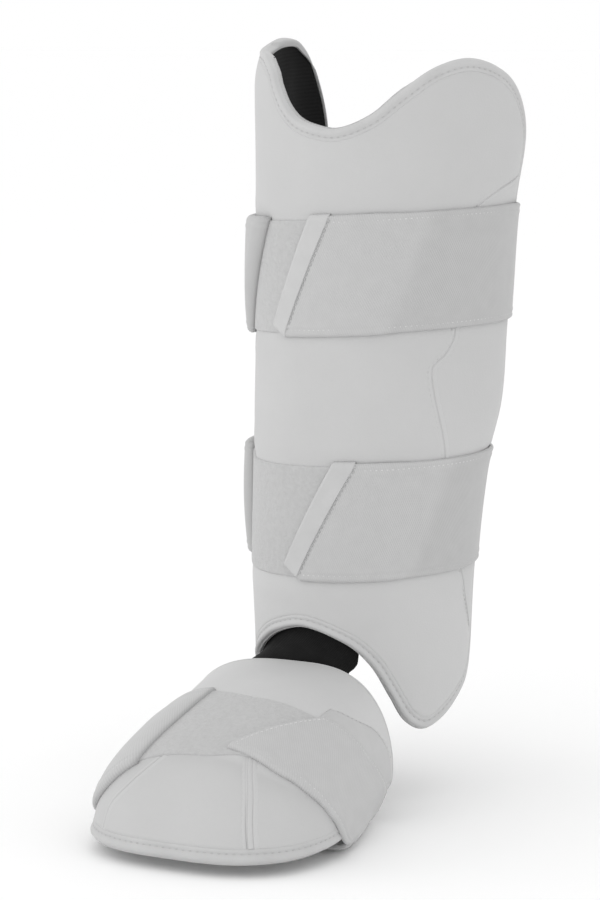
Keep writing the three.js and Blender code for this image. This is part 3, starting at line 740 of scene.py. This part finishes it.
def padded_shell():
    columns, rows = 204, 232
    piece, u, v = flat_grid("shell_padding", columns, rows)
    turn, height = patch(SHIN_RIM, SHIN_CORNERS, 2.4, leg_point, u, v)
    seam_gap = nearest(leg_point(turn, height), leg_point(*route(SIDE_SEAM, 900)))
    relief = shell_face(turn, height) - 0.9 * np.exp(-(seam_gap / 1.7) ** 4)
    shape(piece, lay(leg_point, turn, height, relief), turn * SPREAD, height)
    # Painted shade: the face is darkened all over, less towards the bottom arch, so that its lower part is
    # painted lighter in place of light.
    shade(piece, 0.03 + 0.045 * step_up(height, -110, -20))
    share = 1 - (SHIN_WALL - shin_wall(turn, height)) / SHELL_WALL
    thicken(piece, SHELL_WALL, np.maximum(0.05, share), offset=-1)
    finish(piece, LEATHER, "shell_leather", "shin_shell")
    lapped_seam("side_seam", leg_point, SIDE_SEAM, shell_face, 420, 0.7, 0.08)
    turn, height = route(SIDE_SEAM, 900)
    sew("side_seam_stitches", leg_point, turn - 1.9, height, 0.75, "seam", dark=0.25)


def black_lining():
    columns, rows = 110, 130
    piece, u, v = flat_grid("lining_cloth", columns, rows)
    turn, height = patch(SHIN_RIM, SHIN_CORNERS, 0.9, leg_point, u, v)
    wall = shin_wall(turn, height)
    share = 1 - 0.5 * (SHIN_WALL - wall) / (SHIN_WALL - SHIN_RIM_WALL)
    points = lay(leg_point, turn, height, LINING_WALL * share + 0.2 - wall)
    shape(piece, points, turn * SPREAD, height)
    thicken(piece, LINING_WALL, share, offset=-1)
    finish(piece, LINING, "black_lining", "shin_lining")


def rolled_edge(name, outline, wall, surface, count, outer, inner, tone_and_painted_shade, node):
    """A strip rolled over an edge.

    wall, outer and inner give the wall and the widths of the strip's two folds at a place on the edge, and the
    argument after inner how far it is darkened there: its tone and painted shade.
    """
    outside = [(inward, out, 0) for inward, out in ROLL_OUTSIDE]
    inside = [(inward, out, 1) for inward, out in ROLL_INSIDE]
    rows = np.array(outside + [(-0.2, 0, 0.5)] + inside, float)
    usual_wall = 6
    steps = np.hypot(np.diff(rows[:, 0]), np.diff(rows[:, 1] - usual_wall * rows[:, 2]))
    keys = np.concatenate([[0], np.cumsum(steps)])
    lanes = 48
    places = np.linspace(0, keys[-1], lanes + 1)
    inward, out, depth = smooth(np.column_stack([keys, rows]), places)
    on_inside = places > keys[len(ROLL_OUTSIDE)]
    piece, u, v = flat_grid(name, count, lanes)
    lane = np.rint(v * lanes).astype(int)
    curve, _ = closed_curve(outline)
    edge = curve(u)
    share = np.where(on_inside[lane], inner(*edge), outer(*edge)) / ROLL_WIDTH
    a, b = inset(curve, u, inward[lane] * share, surface)
    flush = np.where(on_inside[lane], np.minimum(1, 2 * share), 1)
    level = out[lane] * flush - wall(*edge) * depth[lane]
    bulge = np.where(level > 0, level * (0.4 + 0.6 * share), level)
    shape(piece, lay(surface, a, b, bulge), u * count, keys[-1] * v)
    # Painted shade in the groove of the stitch line.
    stitch_groove_shade = np.exp(-((inward[lane] - ROLL_STITCH) / 0.7) ** 2) * ~on_inside[lane]
    shade(piece, tone_and_painted_shade(*edge) + 0.05 * stitch_groove_shade)
    weld(piece)
    thicken(piece, 0.8, offset=1)
    finish(piece, ROLLED, "binding_leather", node)


def shin_rim():
    def outer(turn, height):
        return np.full_like(turn, ROLL_WIDTH)

    def inner(turn, height):
        return 0.3 + 4.7 * step_up(height, 206, 224) * eased(FOLD_TURNS, turn)

    def tone_and_painted_shade(turn, height):
        return np.full_like(turn, 0.055)

    rolled_edge("rim_binding", SHIN_RIM, shin_rim_wall, leg_point, 560, outer, inner, tone_and_painted_shade, "shin_binding")
    curve, _ = closed_curve(SHIN_RIM)
    a, b = inset(curve, np.linspace(0, 1, 1600), ROLL_STITCH, leg_point)
    sew("rim_stitches", leg_point, a, b, 0.15, "rim", dark=0.32)


# Straps

def lay_band(name, surface, start, end, width, low, wall, columns, rows,
             hem=False, round_edge=1.4, wrap=0.0, tone_and_painted_shade=None):
    """A strip on a surface, low millimetres off it.

    start and end give its turn at each place across it, wrap draws its start down, and the last argument
    darkens it by its tone and by painted shade.
    """
    piece, u, v = flat_grid(name, columns, rows)
    u, v = crowd(u), crowd(v)
    q = (v - 0.5) * width
    first, last = start(q), end(q)
    turn = first + (last - first) * u
    side_gap = np.minimum(v, 1 - v) * width
    end_gap = np.minimum(turn - first, last - turn) * SPREAD
    gap = np.minimum(side_gap, end_gap)
    base = low - wrap * np.exp(-((turn - first) * SPREAD / 0.9) ** 2)
    base = base + ripple(surface(turn, q), 15, 0.08)
    share = EDGE_SHARE + (FULL_SHARE - EDGE_SHARE) * (1 - corner(gap, round_edge))
    if hem:
        doubled = step_up(HEM_WIDTH - side_gap, 0, 1.2)
        sunk = np.exp(-((side_gap - HEM_INSET) / 0.8) ** 2)
        share = share + 0.1 * doubled - 0.14 * sunk
    shape(piece, lay(surface, turn, q, base), turn * SPREAD, q)
    if tone_and_painted_shade:
        shade(piece, tone_and_painted_shade(turn, q))
    thicken(piece, wall, np.clip(share, 0.05, 1))
    return piece


def slanted(turn, slant, width, lowest=None):
    """An end of a strip: its turn in the middle and its slant.

    lowest cuts off its lower corner: the place across where the cut starts, and the turn at the bottom edge.
    """
    def end(q):
        line = turn + slant * q
        if lowest is None:
            return line
        join, bottom = lowest
        reach = (q + width / 2) / (join + width / 2)
        return np.maximum(line, bottom + (turn + slant * join - bottom) * reach)
    return end


def leg_strap(strap):
    """One leg strap with the pile it closes on, the backing under its fixed end and its end tape."""
    name, half, fixed_slant = strap["name"], STRAP_WIDTH / 2, strap["fixed_slant"]
    fixed_end = strap["fixed"] + 360
    web_reach = 20 + fixed_slant * half
    on_shell, on_rim, on_landing, on_web = 0.4, strap["on_rim"], LANDING_WALL + 0.2, strap["web"] + 0.3
    lifts = (
        # turn, height of the strap's inner face
        (strap["end"] + LANDING_TUCK + 8, on_landing),
        (strap["end"] + LANDING_TUCK + 26, on_shell),
        (94, on_shell),
        (108, on_rim),
        (126, on_rim),
        (180, -1),
        (232, on_rim),
        (fixed_end - web_reach - 22, on_rim),
        (fixed_end - web_reach - 2, on_web),
    )
    loose = slanted(strap["end"], strap["end_slant"], STRAP_WIDTH, strap["corner"])
    fast = slanted(fixed_end - 1, fixed_slant, STRAP_WIDTH)

    def shell_surface(turn, q):
        return leg_point(turn, strap_height(strap, turn) + q)

    def strap_surface(turn, q):
        lift = eased(lifts, turn)
        over_web = step_up(turn, fixed_end - web_reach - 20, fixed_end - web_reach)
        lift = lift - FLAP_BOW * (lift - on_rim) * over_web * (q / half) ** 2
        held = 1 - step_up(turn, 98, 106) + over_web
        down = (lift - 0.05) * corner(half - np.abs(q), 3) * held
        folded = (lift - on_landing + 0.9) * fold((fast(q) - turn) * SPREAD, 10)
        return leg_point(turn, strap_height(strap, turn) + q, lift - np.maximum(down, folded))

    # The stretched part is darker in tone; the crease at the band's folded fixed end is darkened as painted
    # shade.
    def band_tone_and_painted_shade(turn, q):
        past_seam = (turn - strap["stretch"] - strap["stretch_slant"] * q) * SPREAD
        return 0.09 * step_up(past_seam, -5, 7) + 0.16 * np.exp(-((fast(q) - turn) * SPREAD / 3) ** 2)

    # Painted shade in the crease beside the band's folded fixed end.
    def pile_painted_shade(turn, q):
        return 0.14 * np.exp(-((turn + 360 - fast(q)) * SPREAD / 3) ** 2)

    band = lay_band(f"{name}_band", strap_surface, loose, fast, STRAP_WIDTH, 0, STRAP_WALL,
                    columns=360, rows=44, hem=True, tone_and_painted_shade=band_tone_and_painted_shade)
    finish(band, ELASTIC, "strap_elastic", f"{name}_strap")
    pile_start = slanted(strap["fixed"] - 4, fixed_slant, STRAP_WIDTH)
    pile_end = slanted(strap["end"] + LANDING_TUCK, strap["end_slant"], STRAP_WIDTH)
    pile = lay_band(f"{name}_pile", shell_surface, pile_start, pile_end, LANDING_WIDTH, 0.25, LANDING_WALL,
                    columns=90, rows=40, tone_and_painted_shade=pile_painted_shade)
    finish(pile, PILE, "loop_pile", f"{name}_landing")
    web_start = slanted(strap["fixed"] - 20, fixed_slant, STRAP_WIDTH)
    web_end = slanted(strap["fixed"] - 4.5, fixed_slant, STRAP_WIDTH)
    web = lay_band(f"{name}_backing", shell_surface, web_start, web_end, WEB_WIDTH, 0.3, strap["web"] - 0.6,
                   columns=30, rows=30)
    finish(web, BACKING, "strap_backing", f"{name}_web")
    tape_edge = slanted(strap["end"] + strap["tape"], strap["end_slant"], STRAP_WIDTH)
    tape = lay_band(f"{name}_end_tape", strap_surface, lambda q: loose(q) - 0.5,
                    lambda q: np.maximum(tape_edge(q), loose(q)), STRAP_WIDTH, BAND_TOP, TAPE_WALL,
                    columns=20, rows=44, round_edge=0.5, wrap=1.8)
    finish(tape, SMOOTH_TAPE, "end_tape", f"{name}_tape")
    across = np.linspace(HEM_INSET - half, half - 1, 200)
    zigzag = sew(f"{name}_tape_stitches", strap_surface, tape_edge(across) + 0.5, across, BAND_TOP + 0.25,
                 "zigzag", dark=0.4, turned=ZIGZAG_LEAN)
    for side, q in (("top", half - HEM_INSET), ("bottom", HEM_INSET - half)):
        sew_hem(f"{name}_{side}_hem", strap_surface, tape_edge(q) + 2, fast(q) - 4, q)


# Foot guard

FOOT_EDGE = foot_rows(FOOT_RIM)
FOOT_RIM_LINE = rim_line(FOOT_EDGE, foot_point)


def foot_fold(tilt, back):
    """Width of the outer fold of the foot guard's binding: full at the toe, narrow elsewhere."""
    return 1.4 + 6.6 * (1 - step_up(back, 25, 45))


def foot_face(tilt, back):
    """How far the foot guard's padded face stands out away from its seams."""
    points = foot_point(tilt, back)
    rim_gap = nearest(points, FOOT_RIM_LINE)
    width = foot_fold(tilt, back)
    out = -FACE_TUCK + FACE_RISE * step_up(rim_gap, width - 1.8, width + 0.2)
    out = out + FACE_SWELL * step_up(rim_gap, 6, 40)
    return out + ripple(points, 22, 0.18)


def foot_rim_wall(tilt, back):
    return np.full_like(tilt, FOOT_RIM_WALL)


def foot_guard():
    columns, rows = 176, 168
    piece, u, v = flat_grid("foot_padding", columns, rows)
    tilt, back = patch(FOOT_EDGE, foot_rows(FOOT_CORNERS), 1.4, foot_point, u, v)
    points = foot_point(tilt, back)
    relief = foot_face(tilt, back)
    for seam in TOE_SEAMS:
        seam_gap = nearest(points, foot_point(*route(foot_rows(seam), 600)))
        relief = np.minimum(relief, foot_face(tilt, back) - 0.9 * np.exp(-(seam_gap / 1.7) ** 4))
    shape(piece, lay(foot_point, tilt, back, relief), tilt * SPREAD, back)
    # Painted shade: the toe ahead of the strap is darkened, with a painted shadow along the strap's front edge.
    ahead = (1 - foot_lane(tilt, -FOOT_STRAP["width"] / 2)) * FOOT_LENGTH - back
    shade(piece, 0.1 * step_up(ahead, -6, 4) + 0.08 * np.exp(-np.abs(ahead) / 5))
    thin = 1 - step_up(nearest(points, FOOT_RIM_LINE), 3, 25)
    thicken(piece, FOOT_WALL, 1 - thin * (1 - (FOOT_RIM_WALL - 0.8) / FOOT_WALL), offset=-1)
    finish(piece, LEATHER, "shell_leather", "foot_shell")
    for number, seam in enumerate(TOE_SEAMS):
        lapped_seam(f"toe_seam_{number}", foot_point, foot_rows(seam), foot_face, 160, 1, 0.6)

    def inner(tilt, back):
        return np.full_like(tilt, 4)

    # Painted shade: the binding is darkened round the toe and left lighter on the rear rim.
    def tone_and_painted_shade(tilt, back):
        return 0.1 * (1 - step_up(back, 20, 80))

    rolled_edge("foot_rim_binding", FOOT_EDGE, foot_rim_wall, foot_point, 340, foot_fold, inner, tone_and_painted_shade,
                "foot_binding")
    curve, _ = closed_curve(FOOT_EDGE)
    share = np.linspace(-0.17, 0.17, 500)
    edge = curve(share)
    a, b = inset(curve, share, ROLL_STITCH * foot_fold(*edge) / ROLL_WIDTH, foot_point)
    sew("toe_stitches", foot_point, a, b, 0.15, "rim", dark=0.32)


def foot_lane(tilt, q):
    """How far along the foot a place on its strap is."""
    around = np.clip(np.mod(tilt + 180, 360) - 180, -90, 90)
    rear, front = smooth(FOOT_LANE, around)
    return front + (rear - front) * (q / FOOT_STRAP["width"] + 0.5)


def foot_lane_surface(setback):
    """The foot under a strip in the strap's lane whose front edge is set back."""
    def surface(tilt, q):
        along = foot_lane(tilt, q) - eased(setback, tilt) * (0.5 - q / FOOT_STRAP["width"])
        return foot_point(tilt, (1 - along) * FOOT_LENGTH)
    return surface


def foot_strap():
    width, end, fixed = FOOT_STRAP["width"], FOOT_STRAP["end"], FOOT_STRAP["fixed"]
    end_slant, fixed_slant = FOOT_STRAP["end_slant"], FOOT_STRAP["fixed_slant"]
    fixed_end = fixed + 360
    on_shell, on_rim, on_landing, on_web = 0.5, 1.2, LANDING_WALL + 0.4, FOOT_WEB_WALL + 0.4
    lifts = (
        # tilt, height of the strap's inner face
        (end + FOOT_LANDING_TUCK + 15, on_landing),
        (62, on_shell),
        (78, on_shell),
        (90, on_rim),
        (fixed_end - 44, 0.8),
        (fixed_end - 20, on_web),
    )
    loose = slanted(end, end_slant, width)
    fast = slanted(fixed_end - 0.6, fixed_slant, width)
    under_strap = foot_lane_surface(FOOT_SETBACK)
    under_landing = foot_lane_surface(FOOT_LANDING_SETBACK)

    def strap_surface(tilt, q):
        lift = eased(lifts, tilt)
        rear_of_flap = step_up(tilt, fixed_end - 40, fixed_end - 15) * 0.7 * step_up(q, 8, width / 2)
        lift = lift - (lift - 0.8) * rear_of_flap
        down = (lift - 0.3) * corner(width / 2 - np.abs(q), 3)
        folded = (lift - on_landing + 0.9) * fold((fast(q) - tilt) * SPREAD, 9)
        return lay(under_strap, tilt, q, lift - np.maximum(down, folded))

    # Painted shade in the crease at the band's folded fixed end.
    def band_tone_and_painted_shade(tilt, q):
        return 0.2 * np.exp(-((fast(q) - tilt) * SPREAD / 2.4) ** 2)

    # Painted shade in the crease beside the band's folded fixed end.
    def pile_painted_shade(tilt, q):
        return 0.16 * np.exp(-((tilt + 360 - fast(q)) * SPREAD / 2.6) ** 2)

    band = lay_band("foot_band", strap_surface, loose, fast, width, 0, STRAP_WALL,
                    columns=320, rows=44, hem=True, tone_and_painted_shade=band_tone_and_painted_shade)
    finish(band, ELASTIC, "strap_elastic", "foot_strap")
    pile_width, web_width = width - 1.5, width - 6
    pile_start = slanted(fixed - 4, fixed_slant, width)
    pile_end = slanted(end + FOOT_LANDING_TUCK, end_slant, width)
    pile = lay_band("foot_pile", under_landing, pile_start, pile_end, pile_width, 0.4, LANDING_WALL,
                    columns=70, rows=40, tone_and_painted_shade=pile_painted_shade)
    finish(pile, PILE, "loop_pile", "foot_landing")
    web_start = slanted(fixed - 16, fixed_slant, width)
    web_end = slanted(fixed - 4.5, fixed_slant, width)
    web = lay_band("foot_backing", under_landing, web_start, web_end, web_width, 0.4, FOOT_WEB_WALL - 0.4,
                   columns=24, rows=30)
    finish(web, BACKING, "strap_backing", "foot_web")
    across = np.linspace(HEM_INSET - width / 2, width / 2 - HEM_INSET, 200)
    hems = [sew("foot_end_hem", strap_surface, loose(across) + 2, across, BAND_TOP, "loose end")]
    for side, q in (("rear", width / 2 - HEM_INSET), ("front", HEM_INSET - width / 2)):
        hems.append(sew_hem(f"foot_{side}_hem", strap_surface, loose(q) + 2, fast(q) - 4, q))


def foot_tab():
    """A thin panel behind the strap on the right, sewn down along its rear edge."""
    piece, u, v = flat_grid("foot_side_tab", 60, 30)
    tilt = FOOT_TAB_TILTS[0] + (FOOT_TAB_TILTS[1] - FOOT_TAB_TILTS[0]) * u
    line, = smooth(FOOT_TAB_LINE, tilt)
    front = foot_lane(tilt, FOOT_STRAP["width"] / 2 - 6)
    back = (1 - (line + (front - line) * v)) * FOOT_LENGTH
    out = foot_face(tilt, back) + 0.02
    share = 0.25 + 0.75 * (1 - corner(v * (front - line) * FOOT_LENGTH, 1.6))
    shape(piece, lay(foot_point, tilt, back, out), tilt * SPREAD, back)
    shade(piece, np.full(len(u), 0.05))
    select_only(piece)
    bpy.ops.object.mode_set(mode="EDIT")
    bpy.ops.mesh.select_all(action="SELECT")
    bpy.ops.mesh.flip_normals()
    bpy.ops.object.mode_set(mode="OBJECT")
    thicken(piece, TAB_WALL, share)
    finish(piece, SMOOTH_TAPE, "end_tape", "foot_tab")
    run = np.linspace(FOOT_TAB_TILTS[0] + 2, 66, 200)
    line, = smooth(FOOT_TAB_LINE, run)
    beside_edge = (1 - line) * FOOT_LENGTH - 1.4
    stitches = sew("foot_tab_stitches", foot_point, run, beside_edge, 1.5, "tab", dark=0.15)


# Tongue

def tongue():
    """A knitted band from inside the shin's bottom arch to inside the foot guard's rim."""
    left, right, columns, rows = -52, 30, 82, 60
    piece, u, v = flat_grid("tongue_knit", columns, rows)
    p = left + (right - left) * u
    middle_turn, middle_tilt = -12, -4

    def under_foot(along, inside):
        tilt = middle_tilt + np.where(p < 0, 0.95, 0.78) * p
        back = np.full_like(p, (1 - along) * FOOT_LENGTH)
        return lay(foot_point, tilt, back, -inside)

    def on_shin(height, inside):
        return leg_point(middle_turn + 1.22 * p, height, -inside)

    low, high = under_foot(-0.015, 6.6), on_shin(-101 - 0.011 * p * p, 4.2)
    guides = np.stack([under_foot(0.17, 10.7), low, (low + high) / 2, high, on_shin(-74 + 0 * p, 12.5)])
    runs = np.linalg.norm(np.diff(guides, axis=0), axis=2).mean(1)
    keys = np.concatenate([[0], np.cumsum(runs)])
    table = np.column_stack([keys, guides.reshape(len(keys), -1)])
    every = smooth(table, v * keys[-1]).reshape(len(p), 3, len(p))
    points = np.stack([every[i, :, i] for i in range(len(p))])
    shape(piece, points, p, v * keys[-1])
    thicken(piece, TONGUE_WALL, offset=-1)
    finish(piece, KNIT, "black_knit", "ankle_tongue")


padded_shell()
black_lining()
shin_rim()
for strap in LEG_STRAPS:
    leg_strap(strap)
foot_guard()
foot_strap()
foot_tab()
tongue()


# Camera, floor and light

def aim(thing, place, target):
    thing.location = place
    thing.rotation_euler = (Vector(target) - Vector(place)).to_track_quat("-Z", "Y").to_euler()


def camera():
    azimuth, pitch = math.radians(28), math.radians(7.8)
    place = Vector((0.7642, -1.5304, 0.2342))
    level = math.cos(pitch)
    forward = Vector((-math.sin(azimuth) * level, math.cos(azimuth) * level, -math.sin(pitch)))
    bpy.ops.object.camera_add()
    seen = bpy.context.object
    seen.data.lens = 120
    seen.data.sensor_width = 36
    aim(seen, place, place + forward)
    bpy.context.scene.camera = seen


def softbox(name, place, size, power):
    bpy.ops.object.light_add(type="AREA")
    light = bpy.context.object
    light.name = name
    light.data.shape = "DISK"
    light.data.size = size
    light.data.energy = power
    aim(light, place, (0, -0.05, 0.02))


def studio():
    low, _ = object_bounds()
    bpy.ops.object.select_all(action="DESELECT")
    bpy.ops.mesh.primitive_plane_add(size=200, location=(0, 0, low.z - 0.0005))
    floor = bpy.context.object
    floor.name = "floor"
    paint = bpy.data.materials.new("floor_paint")
    paint.use_nodes = True
    shader = paint.node_tree.nodes["Principled BSDF"]
    shader.inputs["Base Color"].default_value = (0.98, 0.98, 0.98, 1)
    shader.inputs["Roughness"].default_value = 0.9
    floor.data.materials.append(paint)
    floor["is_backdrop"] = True
    softbox("key_light", (-2.5, -1.2, 0.9), 1.8, 9)
    softbox("fill_light", (0.3, -2.7, 0.3), 2, 3)
    world = bpy.data.worlds.new("studio")
    bpy.context.scene.world = world
    world.use_nodes = True
    tree = world.node_tree
    sky = tree.nodes["Background"]
    sky.inputs["Color"].default_value = (1, 1, 1, 1)
    sky.inputs["Strength"].default_value = 1.02
    seen = tree.nodes.new("ShaderNodeBackground")
    seen.inputs["Color"].default_value = (1, 1, 1, 1)
    seen.inputs["Strength"].default_value = 1
    path = tree.nodes.new("ShaderNodeLightPath")
    mix = tree.nodes.new("ShaderNodeMixShader")
    tree.links.new(path.outputs["Is Camera Ray"], mix.inputs["Fac"])
    tree.links.new(sky.outputs[0], mix.inputs[1])
    tree.links.new(seen.outputs[0], mix.inputs[2])
    tree.links.new(mix.outputs[0], tree.nodes["World Output"].inputs["Surface"])
    bpy.context.scene.view_settings.view_transform = "Standard"


camera()
studio()
